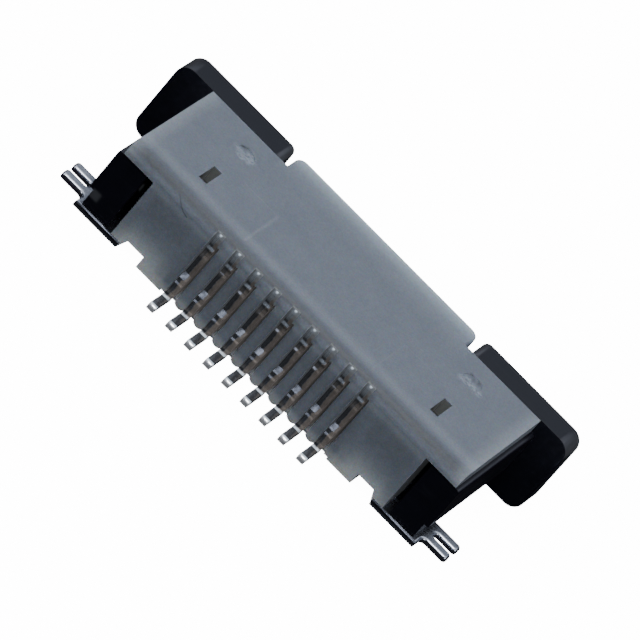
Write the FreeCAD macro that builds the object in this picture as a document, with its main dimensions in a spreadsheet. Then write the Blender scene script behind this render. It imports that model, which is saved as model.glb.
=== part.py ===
import FreeCAD, Part
import os
import re
import Sketcher

# A right-angle surface-mount connector for a flat flexible cable, with nine contacts on a 1 mm pitch
# and a sliding lock. X runs along its length, the cable goes in from +Y, the solder tails point to -Y,
# and the board is the plane z = 0. Millimetres throughout. Each piece is drawn with y measured from the
# housing's rear face, and its Placement moves it so that the origin is the middle of the footprint.

# The driving sizes. Each is written once here and read from the sheet everywhere else.
SIZES = {
    # housing, outside
    "housing_height": (3.84, "board to the top face"),
    "plate_width": (17.68, "top plate, end to end"),
    "plate_depth": (6.47, "top plate, rear face to front edge beside the lip"),
    "plate_edge": (0.63, "thickness of the plate where it covers the slider's arms"),
    "rear_round": (0.53, "rounding along the plate's rear top edge"),
    "core_width": (14.54, "rear block between the corner notches"),
    "cheek_width": (16.4, "wider block in front of the notches"),
    "core_setback": (0.05, "core front face behind the plate's front edge"),
    "lip_width": (9.68, "centre lip above the cable mouth"),
    "lip_reach": (1.2, "lip in front of the plate"),
    "lip_thickness": (0.79, "lip and mouth ceiling"),
    "lip_corner": (0.4, "rounding of the lip's two front corners"),
    "nose_width": (10.0, "floor in front of the core"),
    "nose_reach": (0.88, "floor nose in front of the core"),
    "soft_edge": (0.12, "rounding of moulded edges"),
    # housing, inside
    "mouth_width": (10.2, "cable mouth"),
    "floor_thickness": (1.0, "board to the mouth's floor"),
    "rear_wall": (1.6, "rear face to the mouth's back wall"),
    "lead_in": (0.25, "slope at the mouth's front edges"),
    "cavity_width": (1.45, "side cavity under a window"),
    "cavity_middle": (6.17, "centre line of a side cavity and its window"),
    "cavity_wall": (0.6, "thin rear wall behind a side cavity"),
    "window_width": (0.4, "window in the top plate"),
    "window_length": (1.28, "window in the top plate"),
    "window_start": (1.57, "rear face to the window"),
    "mark_middle": (6.1, "centre line of an ejector pin's mark"),
    "mark_place": (4.93, "rear face to the middle of that mark"),
    "mark_radius": (0.45, "ejector pin's mark"),
    "mark_depth": (0.03, "ejector pin's mark"),
    # housing, rear face and underside
    "relief_depth": (1.25, "underside relief, from the rear face inward"),
    "relief_height": (0.1, "underside relief under the contacts"),
    "scallop_width": (0.42, "rounded foot between two slots"),
    "scallop_drop": (0.09, "rounded foot below the relief"),
    "foot_inside": (4.46, "centre to the inner side of a foot"),
    "gate_inside": (5.74, "centre to the gap beside a foot"),
    "gate_outside": (6.58, "centre to the far side of that gap, at its top"),
    "gate_slant": (0.22, "slope of the gap's far side"),
    "gate_height": (0.55, "gap beside a foot"),
    # contacts and their slots
    "contact_count": (9, "contacts"),
    "contact_pitch": (1.0, "contact to contact"),
    "blade": (0.35, "contact thickness"),
    "blade_offset": (0.06, "middle of a blade beside its pitch line"),
    "blade_gap": (0.02, "clearance on each side of a beam"),
    "slot_width": (0.52, "slot in the rear wall"),
    "slot_depth": (1.45, "slot, from the rear face"),
    "slot_floor": (0.24, "board to the slot's floor"),
    "slot_mouth": (0.1, "part of the slot that is open at the bottom for the tail"),
    "slot_step": (3.2, "board to the place where the slot narrows to the blade"),
    "slot_top": (3.66, "board to the slot's upper end"),
    "tip_slot_depth": (1.1, "narrow upper part of the slot, from the rear face"),
    "groove_room": (0.2, "groove in the floor, in front of the lower beam"),
    "spine_rear": (0.3, "rear face to the spine's rear edge"),
    "spine_front": (1.4, "rear face to the spine's front edge"),
    "tip_height": (3.43, "board to the blade's tip"),
    "tip_setback": (0.1, "tip, in front of the spine's rear edge"),
    "tip_round": (0.15, "rounding of the tip"),
    "nib_height": (2.77, "board to the top of the nib where the carrier was cut off"),
    "nib_length": (0.06, "rear face of that nib, upright"),
    "nib_slope": (0.06, "height of the slopes above and under it"),
    "recess_height": (2.3, "board to the bottom of the recess under the nib"),
    "recess_slope": (0.04, "fall of that bottom towards the rear"),
    "shoulder_height": (1.26, "board to the shoulder of the spine"),
    "shoulder_reach": (0.27, "shoulder behind the spine"),
    "shoulder_drop": (0.18, "fall of the shoulder towards the rear"),
    "step_height": (0.86, "board to the step below the shoulder"),
    "step_reach": (0.08, "step behind the shoulder"),
    "step_slope": (0.05, "fall of the step towards the rear"),
    "root_height": (0.33, "board to the tail's root"),
    "root_length": (0.26, "tail's root, from the spine back"),
    "kink_length": (0.13, "slope from the root to the tail"),
    "tail_reach": (1.42, "solder tail behind the rear face"),
    "tail_thickness": (0.28, "solder tail"),
    "tail_round": (0.15, "rounding of the tail's end"),
    "heel": (0.08, "front end of the soldered length behind the rear face"),
    "heel_slope": (0.15, "slope from there to the slot's floor"),
    "lower_beam_end": (3.95, "rear face to the end of the lower beam"),
    "upper_beam_end": (4.2, "rear face to the end of the upper beam"),
    "beam_height": (0.32, "height of a beam's section"),
    "beam_rise": (0.12, "rise of the lower beam towards its end"),
    "beam_nose": (0.2, "length of a beam's bevelled end"),
    "bump_height": (0.24, "contact point above the mouth's floor"),
    "bump_place": (3.35, "rear face to the contact point"),
    "bump_flat": (0.1, "half the length of the contact point"),
    "bump_run": (0.5, "contact point to the foot of its slope"),
    # slider
    "travel": (1.5, "slider, locked to open"),
    "seat_gap": (0.03, "locked slider in front of the plate"),
    "stop_gap": (0.05, "hook to stop with the slider open"),
    "ear_span": (20.9, "across both ears"),
    "ear_inside": (5.13, "centre to an ear's inner end"),
    "ear_depth": (1.35, "ear, front to rear"),
    "ear_bottom": (0.04, "board to an ear"),
    "ear_corner": (0.6, "rounding of an ear's outer corners"),
    "ear_inner_corner": (0.3, "rounding of an ear's inner corners"),
    "tongue_side_gap": (0.15, "tongue to each side of the mouth"),
    "tongue_rear": (2.3, "rear face to the tongue's tip"),
    "tongue_slope": (0.6, "length of the tip's wedge"),
    "tongue_gap": (0.28, "contact point to the tongue, for the cable"),
    "tongue_thickness": (1.08, "tongue"),
    "bar_gap": (0.07, "bar to the lip above it"),
    "arm_span": (18.12, "across both arms"),
    "arm_thickness": (0.81, "side arm"),
    "arm_rear": (0.05, "rear face to the arm's end"),
    "arm_gap": (0.05, "clearance under the plate and above the solder tab"),
    "hook_length": (1.35, "hook at the arm's end, front to rear"),
    "hook_inside": (7.6, "centre to the hook's inner face"),
    "arm_step": (0.2, "lower outer edge of the arm, set in"),
    "arm_step_height": (1.05, "board to the top of that step"),
    "joined": (0.1, "how far a feature runs into the one that it grows from"),
    # solder tabs
    "tab_thickness": (0.26, "sheet"),
    "tab_inside": (6.8, "centre to the tab's inner side"),
    "tab_outside": (9.1, "centre to the foot's outer side"),
    "tab_overhang": (0.07, "foot behind the rear face"),
    "tab_depth": (3.3, "foot, rear face to its front edge"),
    "tab_shoulder": (8.1, "centre to the foot's outer side in front of the prongs"),
    "tab_edge": (0.1, "rounding of the sheet's upper edges"),
    "tab_corner": (0.24, "rounding between the foot and the rear prong"),
    "prong_span": (20.6, "across the prongs of both tabs"),
    "prong_width": (0.48, "one prong"),
    "prong_slit": (0.38, "slit between the two prongs"),
    "prong_start": (0.65, "rear face to the rear prong"),
    "slit_end": (9.27, "centre to the closed end of the slit"),
    "slit_round": (0.17, "rounding of the slit's closed end"),
    "prong_round": (0.16, "rounding of the prongs' corners"),
    "leg_height": (2.0, "top of the leg inside the housing"),
    "leg_rear": (0.35, "rear face to the leg"),
    "leg_depth": (1.6, "leg, front to rear"),
    "tab_gap": (0.01, "clearance round the tab in the housing"),
}
SIZE = {name: value for name, (value, meaning) in SIZES.items()}

# Places that follow from the sizes, measured from the rear face, the board or the centre line.
SEAT = "plate_depth + seat_gap"
FRONT = f"{SEAT} + ear_depth"
CEILING = "housing_height - lip_thickness"
COVER = "housing_height - plate_edge"
CORE_FRONT = "plate_depth - core_setback"
STOP = "arm_rear + hook_length + travel + stop_gap"
BUMP_TOP = "floor_thickness + bump_height"
TONGUE_BOTTOM = f"{BUMP_TOP} + tongue_gap"
TONGUE_TOP = f"{TONGUE_BOTTOM} + tongue_thickness"
FIRST_CONTACT = "-(contact_count - 1) / 2 * contact_pitch"
FIRST_BLADE = f"{FIRST_CONTACT} - blade_offset"
ARM_BOTTOM = "tab_thickness + arm_gap"
ARM_TOP = f"{COVER} - arm_gap"

# Edges are picked by place, to within this much.
CLOSE = 0.005

doc = FreeCAD.newDocument("connector")
sheet = doc.addObject("Spreadsheet::Sheet", "Sizes")
for row, (name, (value, meaning)) in enumerate(SIZES.items(), start=1):
    sheet.set(f"A{row}", name)
    sheet.set(f"B{row}", str(value))
    sheet.setAlias(f"B{row}", name)
    sheet.set(f"C{row}", meaning)
doc.recompute()


def bound(text):
    """The expression in which every size is read from the sheet."""
    return re.sub(r"[a-z_]+", lambda word: f"Sizes.{word[0]}" if word[0] in SIZES else word[0], text)


def datum(body, role):
    """One of the body's own origin planes or axes."""
    return next(item for item in body.Origin.OriginFeatures if item.Role == role)


def new_body(name):
    """A piece drawn from the rear face and placed about the middle of the footprint."""
    body = doc.addObject("PartDesign::Body", name)
    body.Label = name
    body.setExpression("Placement.Base.y", bound(f"(tail_reach - ({FRONT})) / 2"))
    return body


def outline(body, name, plane, corners, offset="0"):
    """A closed sketch on one of the body's planes, each corner held by two sizes from the sheet."""
    sketch = body.newObject("Sketcher::SketchObject", name)
    sketch.AttachmentSupport = [(datum(body, plane), "")]
    sketch.MapMode = "FlatFace"
    sketch.setExpression("AttachmentOffset.Base.z", bound(offset))
    count = len(corners)
    start = [FreeCAD.Vector(1, 0, 0) for _ in corners]
    for index in range(count):
        turn = FreeCAD.Rotation(FreeCAD.Vector(0, 0, 1), 360.0 * index / count)
        start[index] = turn.multVec(start[index])
    for index in range(count):
        sketch.addGeometry(Part.LineSegment(start[index], start[(index + 1) % count]), False)
    for index in range(count):
        sketch.addConstraint(Sketcher.Constraint("Coincident", index, 2, (index + 1) % count, 1))
    for index, place in enumerate(corners):
        for kind, text, value in zip(("DistanceX", "DistanceY"), place, start[index]):
            number = sketch.addConstraint(Sketcher.Constraint(kind, -1, 1, index, 1, value))
            sketch.setExpression(f"Constraints[{number}]", bound(text))
    return sketch


def box_corners(low_u, low_v, high_u, high_v):
    """The four corners of an upright rectangle."""
    return [(low_u, low_v), (high_u, low_v), (high_u, high_v), (low_u, high_v)]


def prism(body, name, kind, plane, corners, length, offset="0", both_ways=True, flip=False):
    """A Pad or a Pocket of an outline."""
    profile = outline(body, f"{name}_outline", plane, corners, offset)
    feature = body.newObject(f"PartDesign::{kind}", name)
    feature.Profile = profile
    feature.setExpression("Length", bound(length))
    feature.SideType = "Symmetric" if both_ways else "One side"
    feature.Reversed = flip
    doc.recompute()
    return feature


def mirror(body, feature):
    """The same feature on the other side of the centre line."""
    mirrored = body.newObject("PartDesign::Mirrored", f"{feature.Name}_mirrored")
    mirrored.Originals = [feature]
    mirrored.MirrorPlane = (datum(body, "YZ_Plane"), [""])
    body.Tip = mirrored
    doc.recompute()
    return mirrored


def repeat(body, feature, count, pitch):
    """The same feature along X, once for each contact or wall."""
    row = body.newObject("PartDesign::LinearPattern", f"{feature.Name}_row")
    row.Originals = [feature]
    row.Direction = (datum(body, "X_Axis"), [""])
    row.setExpression("Occurrences", bound(count))
    row.setExpression("Length", bound(f"({pitch}) * ({count} - 1)"))
    body.Tip = row
    doc.recompute()
    return row


def edge_names(feature, wanted):
    """The names of the edges whose middle and direction pass a test."""
    names = []
    for index, edge in enumerate(feature.Shape.Edges, start=1):
        middle = edge.valueAt((edge.FirstParameter + edge.LastParameter) / 2)
        span = edge.Vertexes[-1].Point - edge.Vertexes[0].Point
        along = "xyz"[max(range(3), key=lambda axis: abs(span[axis]))]
        if wanted(middle, along, edge.Length):
            names.append(f"Edge{index}")
    return names


def soften(body, name, kind, feature, size, wanted):
    """A Fillet or a Chamfer along the chosen edges."""
    rounded = body.newObject(f"PartDesign::{kind}", name)
    rounded.Base = (feature, edge_names(feature, wanted))
    rounded.setExpression("Radius" if kind == "Fillet" else "Size", bound(size))
    body.Tip = rounded
    doc.recompute()
    return rounded


def near(value, target):
    return abs(value - target) < CLOSE


def build_housing():
    """The grey moulding: plate, core, cheeks, lip and nose, then everything that is cut from them."""
    body = new_body("housing")
    plate = prism(body, "plate", "Pad", "YZ_Plane",
                  box_corners("0", COVER, "plate_depth", "housing_height"), "plate_width")
    soften(body, "plate_rounding", "Fillet", plate, "rear_round",
           lambda p, along, length: along == "x" and near(p.y, 0) and near(p.z, SIZE["housing_height"]))
    prism(body, "core", "Pad", "YZ_Plane", box_corners("0", "0", CORE_FRONT, COVER), "core_width")
    prism(body, "cheeks", "Pad", "YZ_Plane", box_corners(STOP, "0", CORE_FRONT, COVER), "cheek_width")
    prism(body, "lip", "Pad", "YZ_Plane",
          box_corners(CORE_FRONT, CEILING, "plate_depth + lip_reach", "housing_height"), "lip_width")
    nose_front = f"{CORE_FRONT} + nose_reach"
    nose = prism(body, "nose", "Pad", "YZ_Plane",
                 box_corners(CORE_FRONT, "0", nose_front, "floor_thickness"), "nose_width")
    nose_y = SIZE["plate_depth"] - SIZE["core_setback"] + SIZE["nose_reach"]
    soften(body, "nose_slope", "Chamfer", nose, "lead_in",
           lambda p, along, length: along == "x" and near(p.y, nose_y) and near(p.z, SIZE["floor_thickness"]))
    prism(body, "mouth", "Pocket", "YZ_Plane",
          box_corners("rear_wall", "floor_thickness", CORE_FRONT, CEILING), "mouth_width")

    cavity = prism(body, "side_cavity", "Pocket", "YZ_Plane",
                   box_corners("cavity_wall", "floor_thickness", CORE_FRONT, CEILING),
                   "cavity_width", "cavity_middle")
    mirror(body, cavity)
    window = prism(body, "window", "Pocket", "YZ_Plane",
                   box_corners("window_start", CEILING, "window_start + window_length", "housing_height"),
                   "window_width", "cavity_middle")
    mirror(body, window)
    mirror(body, pin_mark(body))

    # Underside at the rear: relief under the contacts, rounded feet between the slots, gaps by the feet.
    prism(body, "relief", "Pocket", "YZ_Plane",
          box_corners("0", "0", "relief_depth", "relief_height"), "2 * foot_inside")
    add_scallops(body)
    gate = prism(body, "gate", "Pocket", "XZ_Plane",
                 [("gate_inside", "0"), ("gate_outside + gate_slant", "0"),
                  ("gate_outside", "gate_height"), ("gate_inside", "gate_height")],
                 "relief_depth", both_ways=False)
    mirror(body, gate)

    # Slots for the contacts: wide through the rear wall, narrow round the tip and the beams.
    narrow = "blade + 2 * blade_gap"
    slot = prism(body, "slot", "Pocket", "YZ_Plane",
                 [("0", "0"), ("slot_mouth", "0"), ("slot_mouth", "slot_floor"), ("slot_depth", "slot_floor"),
                  ("slot_depth", f"{CEILING} - blade_gap"), ("tip_slot_depth", f"{CEILING} - blade_gap"),
                  ("tip_slot_depth", "slot_step"), ("0", "slot_step")],
                 "slot_width", FIRST_CONTACT)
    repeat(body, slot, "contact_count", "contact_pitch")
    tip_slot = prism(body, "tip_slot", "Pocket", "YZ_Plane",
                     box_corners("0", "slot_step", "tip_slot_depth", "slot_top"),
                     narrow, FIRST_BLADE)
    repeat(body, tip_slot, "contact_count", "contact_pitch")
    groove = prism(body, "groove", "Pocket", "YZ_Plane",
                   box_corners("slot_depth", "slot_floor", "lower_beam_end + groove_room", "floor_thickness"),
                   narrow, FIRST_BLADE)
    repeat(body, groove, "contact_count", "contact_pitch")
    beam_slot = prism(body, "beam_slot", "Pocket", "YZ_Plane",
                      box_corners("slot_depth", f"{CEILING} - 2 * beam_height", "rear_wall", CEILING),
                      narrow, FIRST_BLADE)
    repeat(body, beam_slot, "contact_count", "contact_pitch")

    # Seats of the solder tabs: the foot lies under the core and cheek, the leg stands in a slot.
    seat = prism(body, "tab_seat", "Pocket", "XY_Plane",
                 box_corners("tab_inside - tab_gap", "0", "cheek_width / 2", "tab_depth + tab_gap"),
                 "tab_thickness + tab_gap", both_ways=False, flip=True)
    mirror(body, seat)
    leg_slot = prism(body, "leg_slot", "Pocket", "XY_Plane",
                     box_corners("tab_inside - tab_gap", "leg_rear - tab_gap",
                                 "tab_inside + tab_thickness + tab_gap", "leg_rear + leg_depth + tab_gap"),
                     "leg_height + tab_gap", both_ways=False, flip=True)
    mirrored = mirror(body, leg_slot)
    round_housing(body, mirrored)
    return body


def pin_mark(body):
    """The round mark of an ejector pin on the top face."""
    sketch = body.newObject("Sketcher::SketchObject", "pin_mark_outline")
    sketch.AttachmentSupport = [(datum(body, "XY_Plane"), "")]
    sketch.MapMode = "FlatFace"
    sketch.setExpression("AttachmentOffset.Base.z", bound("housing_height"))
    sketch.addGeometry(Part.Circle(FreeCAD.Vector(1, 1, 0), FreeCAD.Vector(0, 0, 1), 1), False)
    centre = [("DistanceX", "mark_middle"), ("DistanceY", "mark_place")]
    for kind, size in centre:
        number = sketch.addConstraint(Sketcher.Constraint(kind, -1, 1, 0, 3, SIZE[size]))
        sketch.setExpression(f"Constraints[{number}]", bound(size))
    number = sketch.addConstraint(Sketcher.Constraint("Radius", 0, SIZE["mark_radius"]))
    sketch.setExpression(f"Constraints[{number}]", bound("mark_radius"))
    mark = body.newObject("PartDesign::Pocket", "pin_mark")
    mark.Profile = sketch
    mark.setExpression("Length", bound("mark_depth"))
    doc.recompute()
    return mark


def add_scallops(body):
    """The rounded feet of the walls between the slots."""
    sketch = body.newObject("Sketcher::SketchObject", "scallop_outline")
    sketch.AttachmentSupport = [(datum(body, "XZ_Plane"), "")]
    sketch.MapMode = "FlatFace"
    sketch.setExpression("AttachmentOffset.Base.x", bound(f"{FIRST_CONTACT} + contact_pitch / 2"))
    sketch.setExpression("AttachmentOffset.Base.y", bound("relief_height"))
    half = SIZE["scallop_width"] / 2
    left = FreeCAD.Vector(-half, 0, 0)
    right = FreeCAD.Vector(half, 0, 0)
    bottom = FreeCAD.Vector(0, -SIZE["scallop_drop"], 0)
    sketch.addGeometry(Part.Arc(left, bottom, right), False)
    sketch.addGeometry(Part.LineSegment(right, left), False)
    sketch.addConstraint(Sketcher.Constraint("Coincident", 0, 2, 1, 1))
    sketch.addConstraint(Sketcher.Constraint("Coincident", 0, 1, 1, 2))
    sketch.addConstraint(Sketcher.Constraint("PointOnObject", 0, 1, -1))
    sketch.addConstraint(Sketcher.Constraint("Symmetric", 0, 1, 0, 2, -1, 1))
    number = sketch.addConstraint(Sketcher.Constraint("DistanceX", 0, 1, 0, 2, 2 * half))
    sketch.setExpression(f"Constraints[{number}]", bound("scallop_width"))
    arc_radius = "(scallop_width ^ 2 / 4 + scallop_drop ^ 2) / (2 * scallop_drop)"
    number = sketch.addConstraint(Sketcher.Constraint("Radius", 0, 1.0))
    sketch.setExpression(f"Constraints[{number}]", bound(arc_radius))
    foot = body.newObject("PartDesign::Pad", "scallop")
    foot.Profile = sketch
    foot.setExpression("Length", bound("relief_depth"))
    foot.Reversed = True
    doc.recompute()
    repeat(body, foot, "contact_count - 1", "contact_pitch")


def round_housing(body, feature):
    """Soft edges on the lip."""
    front = SIZE["plate_depth"] + SIZE["lip_reach"]
    side = SIZE["lip_width"] / 2
    top = SIZE["housing_height"]
    corners = soften(body, "lip_corners", "Fillet", feature, "lip_corner",
                     lambda p, along, length: along == "z" and near(p.y, front) and near(abs(p.x), side))
    soften(body, "lip_edge", "Fillet", corners, "soft_edge",
           lambda p, along, length: near(p.z, top) and near(p.y, front))


def build_contact(index):
    """A stamped blade: spine with its tip, two beams with a contact point, and a solder tail."""
    body = new_body(f"contact_{index + 1}")
    place = f"{FIRST_BLADE} + {index} * contact_pitch"
    beam_low = "slot_floor + blade_gap"
    beam_top = f"{beam_low} + beam_height"
    tip_front = "tip_slot_depth - blade_gap"
    upper_top = f"{CEILING} - 2 * blade_gap"
    tip_rear = "spine_rear + tip_setback"
    nib_top = "nib_height - nib_slope"
    nib_bottom = f"{nib_top} - nib_length"
    shoulder_rear = "spine_rear - shoulder_reach"
    step_rear = f"{shoulder_rear} - step_reach"
    underside = [
        ("-tail_reach", "0"),
        ("-heel", "0"),
        ("heel_slope - heel", beam_low),
        ("spine_front", beam_low),
        ("lower_beam_end - beam_nose", f"{beam_low} + beam_rise"),
        ("lower_beam_end", f"{beam_low} + 2 * beam_rise"),
    ]
    lower_beam = [
        ("lower_beam_end", "floor_thickness"),
        ("bump_place + bump_flat", BUMP_TOP),
        ("bump_place - bump_flat", BUMP_TOP),
        ("bump_place - bump_run", f"{beam_top} + beam_rise"),
        ("spine_front", beam_top),
    ]
    upper_beam = [
        ("spine_front", f"{upper_top} - beam_height"),
        ("upper_beam_end - beam_nose", f"{upper_top} - beam_height"),
        ("upper_beam_end", f"{upper_top} - beam_height / 2"),
        ("upper_beam_end", upper_top),
        (tip_front, upper_top),
    ]
    tip = [
        (tip_front, "tip_height"),
        (tip_rear, "tip_height"),
        (tip_rear, "nib_height"),
        ("spine_rear", nib_top),
        ("spine_rear", nib_bottom),
        (tip_rear, f"{nib_bottom} - nib_slope"),
    ]
    rear_edge = [
        (tip_rear, "recess_height"),
        ("spine_rear", "recess_height - recess_slope"),
        ("spine_rear", "shoulder_height"),
        (shoulder_rear, "shoulder_height - shoulder_drop"),
        (shoulder_rear, "step_height"),
        (step_rear, "step_height - step_slope"),
    ]
    tail = [
        (step_rear, "root_height"),
        (f"{step_rear} - root_length", "root_height"),
        (f"{step_rear} - root_length - kink_length", "tail_thickness"),
        ("-tail_reach", "tail_thickness"),
    ]
    corners = underside + lower_beam + upper_beam + tip + rear_edge + tail
    blade = prism(body, f"blade_{index + 1}", "Pad", "YZ_Plane", corners, "blade", place)
    rear = -SIZE["tail_reach"]
    tail_top = SIZE["tail_thickness"]
    tail_end = soften(body, f"tail_end_{index + 1}", "Fillet", blade, "tail_round",
                      lambda p, along, length: along == "x" and near(p.y, rear) and near(p.z, tail_top))
    tip_edge = SIZE["spine_rear"] + SIZE["tip_setback"]
    tip_top = SIZE["tip_height"]
    soften(body, f"tip_end_{index + 1}", "Fillet", tail_end, "tip_round",
           lambda p, along, length: along == "x" and near(p.y, tip_edge) and near(p.z, tip_top))
    return body


def build_slider():
    """The black moulding that locks the cable: ears, bar, tongue and two hooked arms."""
    body = new_body("slider")
    half = "ear_span / 2"
    front_view = [
        (f"-{half}", "ear_bottom"), ("-ear_inside", "ear_bottom"),
        ("-ear_inside", TONGUE_BOTTOM), ("ear_inside", TONGUE_BOTTOM),
        ("ear_inside", "ear_bottom"), (half, "ear_bottom"),
        (half, "housing_height"), ("ear_inside", "housing_height"),
        ("ear_inside", f"{CEILING} - bar_gap"), ("-ear_inside", f"{CEILING} - bar_gap"),
        ("-ear_inside", "housing_height"), (f"-{half}", "housing_height"),
    ]
    bar = prism(body, "bar", "Pad", "XZ_Plane", front_view, "ear_depth",
                f"-({SEAT})", both_ways=False, flip=True)
    outer = SIZE["ear_span"] / 2
    corners = soften(body, "ear_corners", "Fillet", bar, "ear_corner",
                     lambda p, along, length: along == "y" and near(abs(p.x), outer))
    inner = SIZE["ear_inside"]
    heights = (SIZE["ear_bottom"], SIZE["housing_height"])
    corners = soften(body, "ear_inner_corners", "Fillet", corners, "ear_inner_corner",
                     lambda p, along, length: along == "y" and near(abs(p.x), inner)
                     and any(near(p.z, height) for height in heights))
    front = SIZE["plate_depth"] + SIZE["seat_gap"] + SIZE["ear_depth"]
    soften(body, "ear_edges", "Fillet", corners, "soft_edge",
           lambda p, along, length: near(p.y, front))
    prism(body, "tongue", "Pad", "YZ_Plane",
          [("tongue_rear + tongue_slope", TONGUE_BOTTOM), (f"{SEAT} + joined", TONGUE_BOTTOM),
           (f"{SEAT} + joined", TONGUE_TOP), ("tongue_rear", TONGUE_TOP),
           ("tongue_rear", f"{TONGUE_TOP} - tongue_thickness / 2")],
          "mouth_width - 2 * tongue_side_gap")
    arm_outer = "arm_span / 2"
    arm_inner = "arm_span / 2 - arm_thickness"
    hook_front = "arm_rear + hook_length"
    arm = prism(body, "arm", "Pad", "XY_Plane",
                [(arm_outer, "arm_rear"), (arm_outer, f"{SEAT} + joined"), (arm_inner, f"{SEAT} + joined"),
                 (arm_inner, hook_front), ("hook_inside", hook_front), ("hook_inside", "arm_rear")],
                f"{ARM_TOP} - ({ARM_BOTTOM})", ARM_BOTTOM, both_ways=False)
    mirror(body, arm)
    step = prism(body, "arm_step", "Pocket", "YZ_Plane",
                 box_corners("0", "0", SEAT, "arm_step_height"),
                 "2 * arm_step", arm_outer)
    stepped = mirror(body, step)
    arm_side = SIZE["arm_span"] / 2
    arm_top = SIZE["housing_height"] - SIZE["plate_edge"] - SIZE["arm_gap"]
    soften(body, "arm_edges", "Fillet", stepped, "soft_edge",
           lambda p, along, length: along == "y" and near(abs(p.x), arm_side) and near(p.z, arm_top))
    return body


def build_tab(name, side):
    """A folded sheet: foot on the board, two side prongs, and a leg that stands in the housing."""
    body = new_body(name)

    def at(text):
        return text if side > 0 else f"-({text})"

    tip = "prong_span / 2"
    rear_prong = "prong_start + prong_width"
    front_prong = f"{rear_prong} + prong_slit"
    last = f"{front_prong} + prong_width"
    plan = [
        (at("tab_inside"), "-tab_overhang"), (at("tab_outside"), "-tab_overhang"),
        (at("tab_outside"), "prong_start"), (at(tip), "prong_start"), (at(tip), rear_prong),
        (at("slit_end"), rear_prong), (at("slit_end"), front_prong),
        (at(tip), front_prong), (at(tip), last),
        (at("tab_shoulder"), last), (at("tab_shoulder"), "tab_depth"), (at("tab_inside"), "tab_depth"),
    ]
    foot = prism(body, f"{name}_foot", "Pad", "XY_Plane", plan, "tab_thickness", both_ways=False)
    end = SIZE["prong_span"] / 2
    tips = soften(body, f"{name}_tips", "Fillet", foot, "prong_round",
                  lambda p, along, length: along == "z" and near(abs(p.x), end))
    closed = SIZE["slit_end"]
    slit = soften(body, f"{name}_slit", "Fillet", tips, "slit_round",
                  lambda p, along, length: along == "z" and near(abs(p.x), closed))
    outer = SIZE["tab_outside"]
    start = SIZE["prong_start"]
    corner = soften(body, f"{name}_corner", "Fillet", slit, "tab_corner",
                    lambda p, along, length: along == "z" and near(abs(p.x), outer) and near(p.y, start))
    top = SIZE["tab_thickness"]
    shoulder = SIZE["tab_shoulder"]
    soften(body, f"{name}_edges", "Fillet", corner, "tab_edge",
           lambda p, along, length: near(p.z, top) and (p.y < start or abs(p.x) > shoulder))
    prism(body, f"{name}_leg", "Pad", "XY_Plane",
          box_corners(at("tab_inside"), "leg_rear", at("tab_inside + tab_thickness"), "leg_rear + leg_depth"),
          "leg_height", both_ways=False)
    return body


pieces = [build_housing(), build_slider()]
pieces += [build_contact(index) for index in range(int(SIZE["contact_count"]))]
pieces += [build_tab("solder_tab_left", -1), build_tab("solder_tab_right", 1)]
doc.recompute()

for item in doc.Objects:
    if "Invalid" in item.State or "Error" in item.State:
        raise RuntimeError(f"{item.Label} did not build: {item.State}")
for piece in pieces:
    if piece.Shape.isNull() or not piece.Shape.isValid() or not piece.Shape.Solids:
        raise RuntimeError(f"{piece.Label} is not a valid solid")

os.makedirs("parts", exist_ok=True)
for piece in pieces:
    piece.Shape.exportStep(f"parts/{piece.Label}.step")
    print(piece.Label, len(piece.Shape.Solids), "solid", round(piece.Shape.Volume, 3), "mm3")
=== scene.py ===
import math
from functools import reduce
from types import SimpleNamespace

import bpy
from mathutils import Matrix, Vector


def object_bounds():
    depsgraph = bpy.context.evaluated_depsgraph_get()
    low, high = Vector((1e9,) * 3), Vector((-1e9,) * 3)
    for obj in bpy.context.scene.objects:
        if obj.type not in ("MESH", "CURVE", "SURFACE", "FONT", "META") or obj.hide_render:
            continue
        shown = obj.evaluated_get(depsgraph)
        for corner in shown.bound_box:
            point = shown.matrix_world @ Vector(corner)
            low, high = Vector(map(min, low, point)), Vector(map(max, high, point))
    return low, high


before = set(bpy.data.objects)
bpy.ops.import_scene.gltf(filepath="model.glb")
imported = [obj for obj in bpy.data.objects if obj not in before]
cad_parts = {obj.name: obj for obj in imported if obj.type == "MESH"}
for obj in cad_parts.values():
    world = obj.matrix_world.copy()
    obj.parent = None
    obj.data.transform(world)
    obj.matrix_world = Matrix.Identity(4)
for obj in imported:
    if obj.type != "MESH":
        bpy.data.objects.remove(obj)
cad_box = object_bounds()

MM = 0.001

# The photograph's view: a long lens from behind and above, with the picture turned on its side.
AZIMUTH = 7.69
ELEVATION = 32.82
ROLL = 41.05
AIM = Vector((0.39, 0.268, 1.92)) * MM
DISTANCE = 350.95 * MM
LENS = 524.2
SENSOR = 36.0

# The studio: a sky by height above the horizon, and square lamps beside and above the connector, each
# with its azimuth and elevation in degrees, its size and its power.
SKY_TILT = (0.0, 0.08, 1.0)
SKY = ((0.0, (0.01, 0.01, 0.012)), (0.48, (0.03, 0.032, 0.035)), (0.62, (0.26, 0.28, 0.31)),
       (0.78, (0.82, 0.86, 0.92)), (1.0, (1.0, 1.0, 1.0)))
SKY_STRENGTH = 1.1
LAMP_DISTANCE = 300.0 * MM
LAMPS = {"key": (-5.0, 63.0, 130.0 * MM, 0.65),
         "left": (-55.0, 18.0, 140.0 * MM, 0.22),
         "right": (65.0, 18.0, 140.0 * MM, 0.22)}
FLOOR_REACH = 600.0 * MM
FLOOR_GLOW = 14.0

# Places in the object's own frame, in millimetres. The first four come from the frame.
HALF_LENGTH = cad_box[1][0] / MM
FRONT = cad_box[1][1] / MM
TAIL_ENDS = cad_box[0][1] / MM
TOP = cad_box[1][2] / MM
REAR_WALL = -3.215

# The slots' middles lie whole pitches from x = 0, and the blades stand a little to their left.
PITCH = 1.0
HALF_ROW = 4.5 * PITCH
BLADE_LEFT = -0.235

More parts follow.
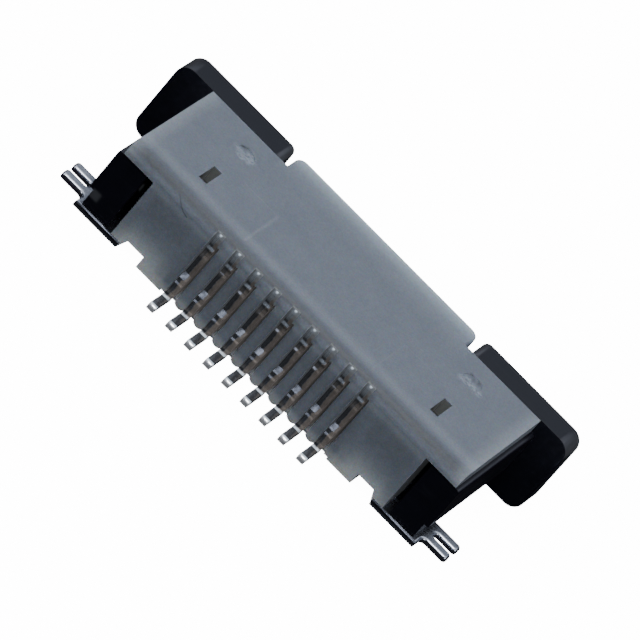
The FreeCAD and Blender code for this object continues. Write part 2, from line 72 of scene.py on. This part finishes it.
# The housing: extents to either side of its middle, along y, and up from the board.
LIP_SIDE = 5.1
WINDOW_SIDE = (5.9, 6.44)
WINDOW_Y = (-1.7, -0.3)
PANEL_SIDE = (4.95, 6.88)
PANEL_Z = (1.95, 3.0)
FOOT_SIDE = (5.1, 6.85)
GATE_SIDE = (5.7, 6.9)
NOTCH_SIDE = (4.98, 5.15)
NOTCH_Y = 3.2
RIDGE_Y = (-2.45, -2.0)
EAVES_Z = (3.0, 3.3)
HALO_Z = (3.18, 3.56)
END_WALL = ((7.22, 7.30), (-3.15, -1.75), (0.5, 3.15))
MARK_FLOOR = 3.82

# The slider: its left hook's inner and rear faces, and the places on them with painted highlights.
HOOK_INNER = -7.6
HOOK_REAR = -3.165
HIGHLIGHT_MIDDLE_Y = -2.61
HIGHLIGHT_Y = (-2.84, -2.42)
HIGHLIGHT_Z = (2.13, 2.47)
PATCH_X = (-8.86, -8.46)
PATCH_Z = (0.74, 1.14)

# The contacts: features of the stamped edge by height, and of the tail by y.
SHOULDER_Z = (1.06, 1.27)
RECESS_Z = (2.2, 2.5)
LEDGE_Z = (2.26, 2.36)
NIB_Z = (2.68, 2.79)
TIP_Z = 2.84
GLINT_LINE = ((-0.097, -2.79, 3.43), (-0.097, -2.76, 3.43))
TIN_FROM = -3.5
KINK_Y = (-3.68, -3.58)
TAIL_TOP_Y = (-4.42, -3.72)
TOE_Y = (TAIL_ENDS + 0.045, TAIL_ENDS + 0.165)

# The housing's colours: its plastic, the painted shade on its rear wall and brow, the painted glow at its
# thin parts, the painted shade in its windows, its marks with painted highlights and shade on the burrs, and
# the painted glow in its slots.
HOUSING_DARK = (0.114, 0.1335, 0.171)
HOUSING_LIGHT = (0.130, 0.150, 0.189)
SHADE = (0.078, 0.088, 0.104)
BROW_SHADE = (0.050, 0.058, 0.071)
GLOW = (0.39, 0.435, 0.475)
LIP = (0.385, 0.465, 0.54)
RIM = (0.70, 0.80, 0.90)
HEM = (0.40, 0.425, 0.43)
WELL_SHADE = (0.05, 0.052, 0.048)
FIBRE_AND_BURR_SHADE = (0.045, 0.055, 0.066)
BURR_HIGHLIGHT = (0.30, 0.355, 0.43)
SLOT_LIGHT = (0.92, 0.98, 1.0)

# The slider's colours.
BLACK = ((0.0012, 0.0013, 0.0032), (0.0020, 0.0021, 0.0050))
SCUFF = (0.006, 0.007, 0.010)
BLACK_SHEEN = (0.80, 0.84, 1.0)
ROOM_LIGHT = (0.84, 0.90, 1.0)

# The contacts' metals, each as a dark and a pale tone, and the painted light on them.
TIN = ((0.60, 0.62, 0.66), (0.76, 0.77, 0.79))
SHEARED = ((0.042, 0.047, 0.062), (0.068, 0.076, 0.098))
TORN = ((0.080, 0.070, 0.063), (0.150, 0.132, 0.120))
ROLLED = ((0.20, 0.175, 0.155), (0.30, 0.265, 0.235))
CUT = (0.26, 0.27, 0.29)
WARM = (1.0, 0.93, 0.87)
COOL = (0.84, 0.96, 1.12)
GLINT = (0.74, 0.87, 1.0)

# The solder tabs' colours with the painted shade on their rear edge, and the floor's colour.
TAB_TIN = ((0.46, 0.50, 0.60), (0.66, 0.70, 0.80))
TAB_EDGE_SHADE = (0.05, 0.055, 0.07)
FLOOR_WHITE = (0.9, 0.9, 0.9)


def on_mark(*strokes):
    """Strokes on the floor of an ejector mark, from pairs of x and y."""
    return [((*start, MARK_FLOOR), (*end, MARK_FLOOR)) for start, end in strokes]


def chain(*points):
    """The strokes that join points in a row."""
    return list(zip(points, points[1:]))


# Burrs on the two ejector marks, with painted highlights on some and painted shade on others, a fine dark
# line on the rear slope, and seams where mould inserts meet.
HIGHLIT_BURRS = on_mark(
    ((-6.50, 1.72), (-6.16, 1.71)), ((-6.16, 1.71), (-5.74, 1.64)), ((-5.98, 1.98), (-5.74, 1.70)),
    ((-6.20, 1.45), (-5.82, 1.48)),
    ((5.72, 1.48), (6.02, 1.56)), ((6.02, 1.56), (6.38, 1.57)), ((6.38, 1.57), (6.60, 1.48)),
    ((5.90, 1.72), (6.05, 1.68)))
SHADED_BURRS = on_mark(
    ((-6.42, 2.02), (-6.22, 2.16)), ((5.84, 2.12), (5.90, 2.08)), ((6.04, 1.99), (6.08, 1.93)),
    ((6.28, 2.05), (6.33, 1.98)))
FIBRE = chain((-6.23, -3.11, 3.62), (-5.98, -3.195, 3.44), (-5.70, REAR_WALL, 3.25), (-5.48, REAR_WALL, 3.19))
CLEAR_SEAM = ((-3.37, 0.25, TOP), (-3.37, -2.5, TOP))
FINE_SEAM = ((-3.4, 0.28, TOP), (-5.1, 0.28, TOP))
FAINT_SEAMS = [((3.44, 0.2, TOP), (3.44, -2.4, TOP)), ((3.44, 0.28, TOP), (5.3, 0.28, TOP))]


class Output:
    """What a node gives out, in the tree that it belongs to."""

    def __init__(self, tree, socket):
        self.tree = tree
        self.socket = socket


def fill(socket, value):
    """Gives a node's input an output of another node, or a plain value."""
    if isinstance(value, Output):
        value.tree.links.new(value.socket, socket)
    else:
        socket.default_value = value


class Number(Output):
    """A number that varies over a surface, with the usual arithmetic."""

    def work(self, operation, other=None):
        """This number and another, varying or plain, put through one maths node."""
        node = self.tree.nodes.new("ShaderNodeMath")
        node.operation = operation
        fill(node.inputs[0], self)
        if other is not None:
            fill(node.inputs[1], other)
        return Number(self.tree, node.outputs["Value"])

    def __add__(self, other):
        return self.work("ADD", other)

    def __sub__(self, other):
        return self.work("SUBTRACT", other)

    def __rsub__(self, other):
        return self * -1.0 + other

    def __mul__(self, other):
        return self.work("MULTIPLY", other)

    def __abs__(self):
        return self.work("ABSOLUTE")

    def fraction(self):
        return self.work("FRACT")

    def most(self, other):
        """The larger of this number and another."""
        return self.work("MAXIMUM", other)

    def mapped(self, places, values, curve):
        """Two places turned into two values, with this curve between them and no change beyond them."""
        node = self.tree.nodes.new("ShaderNodeMapRange")
        node.interpolation_type = curve
        node.inputs["From Min"].default_value, node.inputs["From Max"].default_value = places
        node.inputs["To Min"].default_value, node.inputs["To Max"].default_value = values
        fill(node.inputs["Value"], self)
        return Number(self.tree, node.outputs["Result"])

    def spread(self, low, high):
        """From 0..1 to low..high."""
        return self.mapped((0.0, 1.0), (low, high), "LINEAR")

    def rise(self, start, end):
        """0 before start, 1 after end, smooth between them; start may be the larger one."""
        if start < end:
            return self.mapped((start, end), (0.0, 1.0), "SMOOTHSTEP")
        return self.mapped((end, start), (1.0, 0.0), "SMOOTHSTEP")

    def band(self, low, high, soft):
        """1 between two places, with soft ends."""
        return self.rise(low - soft, low + soft) * self.rise(high + soft, high - soft)

    def held(self, top):
        """Kept between 0 and a top value."""
        node = self.tree.nodes.new("ShaderNodeClamp")
        node.inputs["Max"].default_value = top
        fill(node.inputs["Value"], self)
        return Number(self.tree, node.outputs["Result"])

    def triple(self, three):
        """Three plain numbers, such as a colour or a direction, each times this one."""
        node = self.tree.nodes.new("ShaderNodeVectorMath")
        node.operation = "SCALE"
        node.inputs[0].default_value = three
        fill(node.inputs["Scale"], self)
        return Triple(self.tree, node.outputs["Vector"])

    def ramp(self, stops):
        """A colour ramp over this number."""
        node = self.tree.nodes.new("ShaderNodeValToRGB")
        fill(node.inputs["Fac"], self)
        elements = node.color_ramp.elements
        while len(elements) < len(stops):
            elements.new(0.5)
        for element, (place, colour) in zip(elements, stops):
            element.position = place
            element.color = (*colour, 1.0)
        return Triple(self.tree, node.outputs["Color"])

    def mottled(self, dark, pale):
        """A colour that drifts between two as a noise does."""
        return self.ramp(((0.3, dark), (0.7, pale)))


class Triple(Output):
    """A colour or a place: three numbers that vary over a surface."""

    def node(self, operation, other=None):
        """A vector maths node over this triple and another, varying or plain."""
        node = self.tree.nodes.new("ShaderNodeVectorMath")
        node.operation = operation
        fill(node.inputs[0], self)
        if other is not None:
            fill(node.inputs[1], other)
        return node

    def __add__(self, other):
        return Triple(self.tree, self.node("ADD", other).outputs["Vector"])

    def __sub__(self, other):
        return Triple(self.tree, self.node("SUBTRACT", other).outputs["Vector"])

    def each(self, other):
        """Each of the three times its partner in another triple."""
        return Triple(self.tree, self.node("MULTIPLY", other).outputs["Vector"])

    def scaled(self, number):
        """All three times one number."""
        node = self.node("SCALE")
        fill(node.inputs["Scale"], number)
        return Triple(self.tree, node.outputs["Vector"])

    def dot(self, other):
        return Number(self.tree, self.node("DOT_PRODUCT", other).outputs["Value"])

    def distance(self, other):
        return Number(self.tree, self.node("DISTANCE", other).outputs["Value"])

    def wrapped(self, low, high):
        """Repeated from the low corner of a box to its high one."""
        node = self.node("WRAP", high)
        node.inputs[2].default_value = low
        return Triple(self.tree, node.outputs["Vector"])

    def parts(self):
        """Its three numbers, as x, y and z."""
        split = self.tree.nodes.new("ShaderNodeSeparateXYZ")
        fill(split.inputs["Vector"], self)
        return SimpleNamespace(**{axis.lower(): Number(self.tree, split.outputs[axis]) for axis in "XYZ"})

    def under(self, share, colour):
        """This colour with another, varying or plain, laid over it by a share from 0 to 1."""
        node = self.tree.nodes.new("ShaderNodeMix")
        node.data_type = "RGBA"
        fill(node.inputs["Factor"], share)
        fill(node.inputs[6], self)
        fill(node.inputs[7], colour if isinstance(colour, Output) else (*colour, 1.0))
        return Triple(self.tree, node.outputs[2])


def coordinates_mm(tree):
    """The object's own millimetres: a place, its x, y and z, and how far it lies to either side."""
    texture = tree.nodes.new("ShaderNodeTexCoord")
    place = Triple(tree, texture.outputs["Object"]).scaled(1.0 / MM)
    at = place.parts()
    at.place = place
    at.side = abs(at.x)
    return at


def surface_normal(tree):
    """Which way the surface faces, in the object's own axes."""
    return Triple(tree, tree.nodes.new("ShaderNodeTexCoord").outputs["Normal"]).parts()


def noise_node(place, scale, detail, roughness):
    """A noise texture over a place, its scale in features per millimetre."""
    node = place.tree.nodes.new("ShaderNodeTexNoise")
    node.inputs["Scale"].default_value = scale
    node.inputs["Detail"].default_value = detail
    node.inputs["Roughness"].default_value = roughness
    fill(node.inputs["Vector"], place)
    return node


def noise(place, scale, detail, roughness):
    """The plain value of a noise texture, about 0 to 1."""
    return Number(place.tree, noise_node(place, scale, detail, roughness).outputs["Fac"])


def dusted(colour, place, contrast=1.1):
    """A colour with a very fine grain, a little different in each channel."""
    grain = Triple(place.tree, noise_node(place, 17.0, 2.0, 0.75).outputs["Color"])
    even = 1.0 - contrast / 2.0
    return colour.each(grain.each((contrast,) * 3) + (even,) * 3)


def segment(place, start, end, width):
    """1 on a straight line between two points, fading over its width."""
    start, end = Vector(start), Vector(end)
    along = (end - start).normalized()
    offset = place - start
    nearest = offset.dot(along).held((end - start).length).triple(along)
    return offset.distance(nearest).rise(width, 0.0)


def strokes(place, lines, width):
    """1 on any of several straight lines."""
    return reduce(Number.most, [segment(place, *line, width) for line in lines])


def past(x, start):
    """How far x is to the right of the last place that lies whole pitches from start."""
    return ((x - start) * (1.0 / PITCH)).fraction() * PITCH


def new_material(name):
    """A material with an empty tree but for its shader and output."""
    material = bpy.data.materials.new(name)
    material.use_nodes = True
    tree = material.node_tree
    tree.nodes.clear()
    output = tree.nodes.new("ShaderNodeOutputMaterial")
    shader = tree.nodes.new("ShaderNodeBsdfPrincipled")
    tree.links.new(shader.outputs["BSDF"], output.inputs["Surface"])
    return material, tree, shader


def add_bump(shader, height, strength, distance):
    """A fine relief on a shader, its distance in millimetres."""
    node = height.tree.nodes.new("ShaderNodeBump")
    node.inputs["Strength"].default_value = strength
    node.inputs["Distance"].default_value = distance * MM
    fill(node.inputs["Height"], height)
    fill(shader.inputs["Normal"], Output(height.tree, node.outputs["Normal"]))


def housing_places(tree):
    """The housing's coordinates, and the regions that more than one of its masks uses."""
    at = coordinates_mm(tree)
    at.rear = at.y.rise(REAR_WALL + 0.215, REAR_WALL + 0.095)
    at.row = at.side.rise(HALF_ROW + 0.1, HALF_ROW)
    at.from_slot = past(at.x, -0.5 * PITCH) - 0.5 * PITCH
    at.behind = at.y.rise(-1.0, -3.0)
    at.front_lip = at.side.rise(LIP_SIDE + 0.1, LIP_SIDE)
    at.jambs = at.rear * at.row * at.z.band(0.8, 3.1, 0.3) * abs(at.from_slot - 0.01).rise(0.46, 0.27)
    at.brow = at.z.rise(3.45, 3.72) * at.y.rise(-2.45, -3.1)
    at.window = at.side.band(*WINDOW_SIDE, 0.02) * at.y.band(*WINDOW_Y, 0.02)
    at.window = at.window * at.z.rise(TOP - 0.02, TOP - 0.06)
    return at


def housing_shadows(at, colour):
    """Painted shade on the rear wall, beside, between and above the slots, and on the slope over it."""
    cloud = noise(at.place, 2.2, 4.0, 0.65).spread(0.3, 1.5)
    panel = at.rear * at.side.band(*PANEL_SIDE, 0.16) * at.z.band(*PANEL_Z, 0.3) * cloud
    walls = at.rear * at.side.rise(HALF_ROW + 0.4, HALF_ROW - 0.1) * at.z.band(0.4, 2.9, 0.5)
    whole = at.rear * at.z.band(0.6, 2.9, 0.4)
    halo = at.row * at.z.band(*HALO_Z, 0.12) * abs(at.from_slot - 0.03).rise(0.45, 0.12)
    for share, strength in ((panel, 0.34), (walls, 0.40), (whole, 0.12), (halo, 0.75), (at.jambs, 0.5)):
        colour = colour.under(share * strength, SHADE)
    return colour.under(at.brow, BROW_SHADE)


def housing_painted_glow(at, colour):
    """Painted glow where light comes through a thin edge, an eave or a foot, and painted shade in the sunken
    windows.
    """
    lip = (at.y.rise(2.3, 4.3) * 0.2 + at.y.rise(3.45, 4.6) * 0.55) * at.front_lip
    rim = at.y.rise(4.15, 4.45) * at.front_lip
    ends = at.side.rise(8.1, 9.0) * at.z.rise(3.0, 3.2)
    ridge = at.z.rise(TOP - 0.10, TOP - 0.01) * at.y.band(*RIDGE_Y, 0.3)
    eaves = at.rear * at.z.band(*EAVES_Z, 0.15)
    feet = at.z.rise(1.9, -0.1) * at.behind * at.side.band(*FOOT_SIDE, 0.35)
    gates = at.z.rise(1.05, 0.45) * at.behind * at.side.band(*GATE_SIDE, 0.4)
    sides = at.z.rise(1.6, 0.2) * at.behind * at.side.rise(HALF_ROW, HALF_ROW + 0.25)
    hems = at.z.rise(0.6, 0.0) * at.behind
    for share, strength, tone in ((lip, 0.92, LIP), (rim, 0.3, RIM), (ends, 0.3, GLOW), (ridge, 0.12, GLOW),
                                  (eaves, 0.13, GLOW), (feet, 0.64, GLOW), (gates, 0.45, GLOW),
                                  (sides, 0.26, HEM), (hems, 0.7, HEM)):
        colour = colour.under(share * strength, tone)
    # painted shade on the sunken floor of each window
    return colour.under(at.window, WELL_SHADE)


def mould_marks(at, colour):
    """Seams, burrs with painted highlights and shade, and a fine dark line; gives the marked colour, the
    seams and the burrs with painted highlights.
    """
    clear = segment(at.place, *CLEAR_SEAM, 0.11).most(segment(at.place, *FINE_SEAM, 0.04))
    faint = strokes(at.place, FAINT_SEAMS, 0.05) * 0.45
    seams = (clear + faint) * noise(at.place, 3.0, 3.0, 0.6).spread(0.1, 1.1)
    rough = noise(at.place, 6.0, 3.0, 0.6).rise(0.32, 0.66)
    # pale strokes are painted highlights on the burrs, dark strokes painted shade on them
    pale = strokes(at.place, HIGHLIT_BURRS, 0.30) * rough
    dark = strokes(at.place, SHADED_BURRS, 0.15) * rough.spread(0.4, 1.0)
    fibre = strokes(at.place, FIBRE, 0.045)
    for share, strength, tone in ((seams, 0.2, GLOW), (pale, 0.62, BURR_HIGHLIGHT), (dark, 0.75, FIBRE_AND_BURR_SHADE),
                                  (fibre, 0.75, FIBRE_AND_BURR_SHADE)):
        colour = colour.under(share * strength, tone)
    return colour, seams, pale


def housing_light(at):
    """Painted glow: emission standing for the dim light that the thin plastic lets into the slots, the
    windows, an end wall and the notches.
    """
    right_edge = 0.27 - at.z.rise(3.19, 3.21) * 0.133
    between = at.from_slot.rise(-0.28, -0.27) * (right_edge - at.from_slot).rise(0.0, 0.01)
    deep = at.y.rise(REAR_WALL + 0.002, REAR_WALL + 0.035) * at.y.rise(-2.1, -3.1)
    slots = between * deep * at.side.rise(HALF_ROW + 0.2, HALF_ROW + 0.1) * at.z.rise(0.15, 0.6)
    slots = slots * at.z.rise(3.72, 3.68) * at.z.rise(3.3, 3.6).spread(0.04, 0.085)
    windows = at.window * at.y.rise(-1.45, -0.5).spread(0.002, 0.042)
    wall_x, wall_y, wall_z = END_WALL
    end_wall = at.x.band(*wall_x, 0.01) * at.y.band(*wall_y, 0.03) * at.z.band(*wall_z, 0.04)
    notches = at.side.band(*NOTCH_SIDE, 0.02) * at.y.rise(NOTCH_Y, NOTCH_Y + 0.3) * at.z.rise(2.6, 3.0)
    return slots + windows + end_wall * 0.019 + notches * 0.25


def housing_material():
    """Blue-grey moulded plastic that lets a little light through, with painted glow at its thin edges and
    feet, painted shade on its rear wall and painted glow in its slots.
    """
    material, tree, shader = new_material("housing_plastic")
    at = housing_places(tree)
    colour = noise(at.place, 0.8, 6.0, 0.6).mottled(HOUSING_DARK, HOUSING_LIGHT)
    colour = housing_painted_glow(at, housing_shadows(at, colour))
    colour, seams, burr_highlights = mould_marks(at, colour)
    speckle = noise(at.place, 7.0, 2.0, 0.6).spread(0.86, 1.14)
    fill(shader.inputs["Base Color"], dusted(colour.scaled(speckle), at.place))

    dull = (at.brow * 0.5).most(at.jambs)
    fill(shader.inputs["Specular IOR Level"], dull.spread(0.5, 0.2))
    fill(shader.inputs["Emission Strength"], housing_light(at))
    shader.inputs["Emission Color"].default_value = (*SLOT_LIGHT, 1.0)
    shader.inputs["Subsurface Weight"].default_value = 0.25
    shader.inputs["Subsurface Radius"].default_value = (0.8, 1.0, 1.1)
    shader.inputs["Subsurface Scale"].default_value = 0.35 * MM

    fine = noise(at.place, 9.0, 3.0, 0.55)
    fill(shader.inputs["Roughness"], fine.spread(0.45, 0.62))
    add_bump(shader, fine * 0.3 + burr_highlights * 2.5 + seams * 0.8, 0.6, 0.01)
    return material


def slider_light(at, facing, fine):
    """Painted reflections of the pale room on the ears' round ends and front edges, and two painted
    highlights on the left hook.
    """
    ends = at.side.rise(HALF_LENGTH - 0.6, HALF_LENGTH - 0.2)
    inner_ends = at.side.rise(5.5, 5.3) * at.z.rise(3.5, 3.6)
    edges = ends.most(inner_ends).most(at.y.rise(FRONT - 0.185, FRONT - 0.035))
    ears = edges * at.z.rise(3.15, 3.45) * at.y.rise(3.1, 3.2) * facing.y.rise(-0.7, -0.2)
    slanted = at.z + (at.y - HIGHLIGHT_MIDDLE_Y) * 0.7
    hook_highlight = slanted.band(*HIGHLIGHT_Z, 0.06) * at.y.band(*HIGHLIGHT_Y, 0.12)
    hook_highlight = hook_highlight * at.x.band(HOOK_INNER - 0.1, HOOK_INNER + 0.1, 0.05)
    rear_face_highlight = at.x.band(*PATCH_X, 0.07) * at.z.band(*PATCH_Z, 0.07)
    rear_face_highlight = rear_face_highlight * at.y.rise(HOOK_REAR + 0.165, HOOK_REAR + 0.065)
    return ears * fine.spread(0.03, 0.05) + hook_highlight * 0.022 + rear_face_highlight * 0.024


def slider_material():
    """Black moulded plastic with a satin skin, a little paler where fingers scuff it, with painted
    reflections on its ears and painted highlights on its left hook.
    """
    material, tree, shader = new_material("slider_plastic")
    at = coordinates_mm(tree)
    tint = noise(at.place, 1.5, 4.0, 0.55).mottled(*BLACK)
    scuffs = noise(at.place.each((0.4, 2.5, 2.5)), 2.0, 3.0, 0.6).rise(0.58, 0.72)
    fill(shader.inputs["Base Color"], tint.under(scuffs * 0.5, SCUFF))
    fine = noise(at.place, 12.0, 3.0, 0.55)
    fill(shader.inputs["Roughness"], fine.spread(0.26, 0.40))
    shader.inputs["Specular IOR Level"].default_value = 0.8
    shader.inputs["Specular Tint"].default_value = (*BLACK_SHEEN, 1.0)
    fill(shader.inputs["Emission Strength"], slider_light(at, surface_normal(tree), fine))
    shader.inputs["Emission Color"].default_value = (*ROOM_LIGHT, 1.0)
    add_bump(shader, fine, 0.2, 0.008)
    return material


def blade_places(tree):
    """The contacts' coordinates and noises, and which part of a contact a point is on."""
    at = coordinates_mm(tree)
    facing = surface_normal(tree)
    at.smear = noise(at.place, 2.5, 4.0, 0.55)
    at.grain = noise(at.place, 14.0, 3.0, 0.6)
    at.clots = noise(at.place, 7.0, 3.0, 0.6).spread(-0.2, 2.2)
    at.shoulder = at.z.band(*SHOULDER_Z, 0.03)
    at.nib = at.z.band(*NIB_Z, 0.02)
    wander = noise(at.place, 3.5, 2.0, 0.5).spread(-0.07, 0.07)
    from_left = past(at.x, BLADE_LEFT) + wander - (at.shoulder * 0.07 + at.nib * 0.12)
    at.torn = from_left.rise(0.155, 0.20)
    at.sheared = from_left.rise(0.20, 0.16)
    at.flank = abs(facing.x).rise(0.6, 0.9)
    at.upward = facing.z.rise(0.2, 0.5)
    at.tinned = at.y.rise(TIN_FROM, TIN_FROM - 0.12)
    at.cut_end = at.y.rise(TAIL_ENDS + 0.135, TAIL_ENDS + 0.035) * facing.y.rise(-0.75, -0.95)
    return at


def blade_colour(at):
    """Sheared and torn strips on a blade's edge, rolled metal on its flanks, tin on its tail, with painted
    shade low down, on a ledge and on the torn part of the shoulder.
    """
    edge = at.smear.mottled(*SHEARED).scaled(at.clots).under(at.torn, at.smear.mottled(*TORN))
    bare = edge.under(at.flank, at.smear.mottled(*ROLLED))
    ledge = at.z.band(*LEDGE_Z, 0.02)
    shaded = ledge * 0.5 + at.shoulder * at.torn * 0.25
    lit = at.z.rise(0.85, 0.7).spread(1.0, 0.75) - shaded
    return bare.scaled(lit).under(at.tinned, at.smear.mottled(*TIN)).under(at.cut_end, CUT)


def from_nearest_slot(place):
    """Places counted along the row from the nearest slot, so that one painted glint repeats on every contact.
    """
    return place.wrapped((-0.5 * PITCH, -FRONT, -FRONT), (0.5 * PITCH, FRONT, FRONT))


def blade_light(at):
    """Painted light: emission for the glow that the translucent slot walls throw on the blades, and painted
    glints on their edges and tails.
    """
    inside = at.y.rise(-1.9, -2.9)
    spine = inside * at.z.rise(0.3, 0.6) * at.sheared.spread(1.0, 0.4) * at.flank.spread(0.013, 0.045)
    root = at.z.rise(0.6, 0.15) * at.y.rise(-3.45, -3.3) * at.flank.spread(0.055, 0.075)
    recess = at.z.band(*RECESS_Z, 0.08) * 0.018 + at.z.band(2.27, 2.35, 0.03) * 0.012
    tail = at.y.band(*TAIL_TOP_Y, 0.04) * at.upward * at.grain.spread(0.0, 0.035)
    warm = spine + root + recess * inside + tail

    tip = (at.z.rise(TIP_Z, TIP_Z + 0.14) * at.sheared.spread(0.002, 0.046)
           + at.z.rise(TIP_Z + 0.14, TIP_Z + 0.30) * at.sheared.spread(0.052, 0.026)
           + at.z.rise(TIP_Z + 0.36, TIP_Z + 0.52) * 0.066)
    cool = inside * at.sheared * 0.012 + tip * at.grain.spread(0.7, 1.3)

    spot = segment(from_nearest_slot(at.place), *GLINT_LINE, 0.095)
    nib_glint = at.nib * at.sheared * at.clots * 0.06
    kink = at.y.band(*KINK_Y, 0.03) * at.upward * at.clots * 0.75
    toe = at.y.band(*TOE_Y, 0.03) * at.upward * at.clots * 0.8
    glints = spot * 1.1 + nib_glint + kink + toe
    return warm.triple(WARM) + cool.triple(COOL) + glints.triple(GLINT)


def contact_material():
    """Bronze with its stamped edges bare: each edge is part mirror, part torn and brown; tinned tails;
    painted glow and glints in its emission.
    """
    material, tree, shader = new_material("contact_metal")
    at = blade_places(tree)
    fill(shader.inputs["Base Color"], blade_colour(at))
    untinned = 1.0 - at.tinned
    rough = (at.torn.most(at.flank) * untinned).most(at.cut_end)
    fill(shader.inputs["Metallic"], 1.0 - rough * 0.85)
    fill(shader.inputs["Roughness"], rough.spread(0.15, 0.62) + untinned * 0.12)
    fill(shader.inputs["Emission Color"], blade_light(at))
    shader.inputs["Emission Strength"].default_value = 1.0
    add_bump(shader, at.smear * 0.4 + at.grain * rough, 0.5, 0.01)
    return material


def tab_material():
    """Bright tin plating, slightly wavy, with painted shade along its rear edge where it stands against the
    housing.
    """
    material, tree, shader = new_material("tab_metal")
    at = coordinates_mm(tree)
    smear = noise(at.place, 1.8, 4.0, 0.55)
    edge_shade = at.y.rise(-3.20, -3.24) * at.z.rise(0.1, 0.2)
    fill(shader.inputs["Base Color"], smear.mottled(*TAB_TIN).under(edge_shade, TAB_EDGE_SHADE))
    shader.inputs["Metallic"].default_value = 1.0
    fill(shader.inputs["Roughness"], smear.spread(0.16, 0.36))
    add_bump(shader, noise(at.place, 5.0, 4.0, 0.6), 0.4, 0.012)
    return material


def floor_material():
    """Plain white that glows, so that the ground is as bright as the photograph's."""
    material, tree, shader = new_material("floor")
    shader.inputs["Base Color"].default_value = (*FLOOR_WHITE, 1.0)
    shader.inputs["Roughness"].default_value = 0.8
    shader.inputs["Emission Color"].default_value = (1.0, 1.0, 1.0, 1.0)
    shader.inputs["Emission Strength"].default_value = FLOOR_GLOW
    return material


def placed(name, data):
    """A new object in the scene."""
    thing = bpy.data.objects.new(name, data)
    bpy.context.scene.collection.objects.link(thing)
    return thing


def direction(azimuth, elevation):
    """The way from the object to something at these angles in degrees, counted from behind the housing."""
    a, e = math.radians(azimuth), math.radians(elevation)
    return Vector((math.sin(a) * math.cos(e), -math.cos(a) * math.cos(e), math.sin(e)))


def make_camera():
    """The camera at the photograph's angle, distance and roll."""
    azimuth, roll = math.radians(AZIMUTH), math.radians(ROLL)
    back = direction(AZIMUTH, ELEVATION)
    level_right = Vector((math.cos(azimuth), math.sin(azimuth), 0.0))
    level_up = back.cross(level_right)
    right = math.cos(roll) * level_right + math.sin(roll) * level_up
    up = back.cross(right)
    data = bpy.data.cameras.new("camera")
    data.lens = LENS
    data.sensor_width = SENSOR
    data.clip_start = 0.1 * DISTANCE
    data.clip_end = 10.0 * DISTANCE
    camera = placed("camera", data)
    turn = Matrix((right, up, back)).transposed().to_4x4()
    camera.matrix_world = Matrix.Translation(AIM + back * DISTANCE) @ turn
    bpy.context.scene.camera = camera


def make_world():
    """A soft sky: bright overhead, dim behind the camera and dark below the horizon."""
    world = bpy.data.worlds.new("studio")
    world.use_nodes = True
    tree = world.node_tree
    background = tree.nodes["Background"]
    ray = Triple(tree, tree.nodes.new("ShaderNodeTexCoord").outputs["Generated"])
    fill(background.inputs["Color"], ray.dot(SKY_TILT).ramp(SKY))
    background.inputs["Strength"].default_value = SKY_STRENGTH
    bpy.context.scene.world = world


def make_lamp(name, azimuth, elevation, size, power):
    """A soft square lamp that faces the object from a given direction."""
    data = bpy.data.lights.new(name, "AREA")
    data.shape = "SQUARE"
    data.size = size
    data.energy = power
    lamp = placed(name, data)
    back = direction(azimuth, elevation)
    lamp.location = back * LAMP_DISTANCE
    lamp.rotation_euler = back.to_track_quat("Z", "Y").to_euler()


def make_floor():
    """A plain pale floor under the connector."""
    mesh = bpy.data.meshes.new("floor")
    corners = [(x * FLOOR_REACH, y * FLOOR_REACH, 0) for x, y in ((-1, -1), (1, -1), (1, 1), (-1, 1))]
    mesh.from_pydata(corners, [], [(0, 1, 2, 3)])
    mesh.materials.append(floor_material())
    floor = placed("floor", mesh)
    floor.visible_diffuse = False
    floor.visible_glossy = False


def dress(name, material, edge_round):
    """A CAD node's material, with its sharp edges broken a little."""
    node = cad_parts[name]
    node.data.materials.clear()
    node.data.materials.append(material)
    weld = node.modifiers.new("weld", "WELD")
    weld.merge_threshold = 0.0005 * MM
    bevel = node.modifiers.new("bevel", "BEVEL")
    bevel.width = edge_round * MM
    bevel.segments = 2
    bevel.limit_method = "ANGLE"
    bevel.angle_limit = math.radians(35)
    bevel.use_clamp_overlap = True
    bevel.harden_normals = True


make_camera()
make_world()
for lamp_name, settings in LAMPS.items():
    make_lamp(lamp_name, *settings)
make_floor()

blade_metal = contact_material()
tab_metal = tab_material()
dress("housing", housing_material(), 0.03)
dress("slider", slider_material(), 0.03)
for name in sorted(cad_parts):
    if name.startswith("contact_"):
        dress(name, blade_metal, 0.015)
    if name.startswith("solder_tab_"):
        dress(name, tab_metal, 0.03)
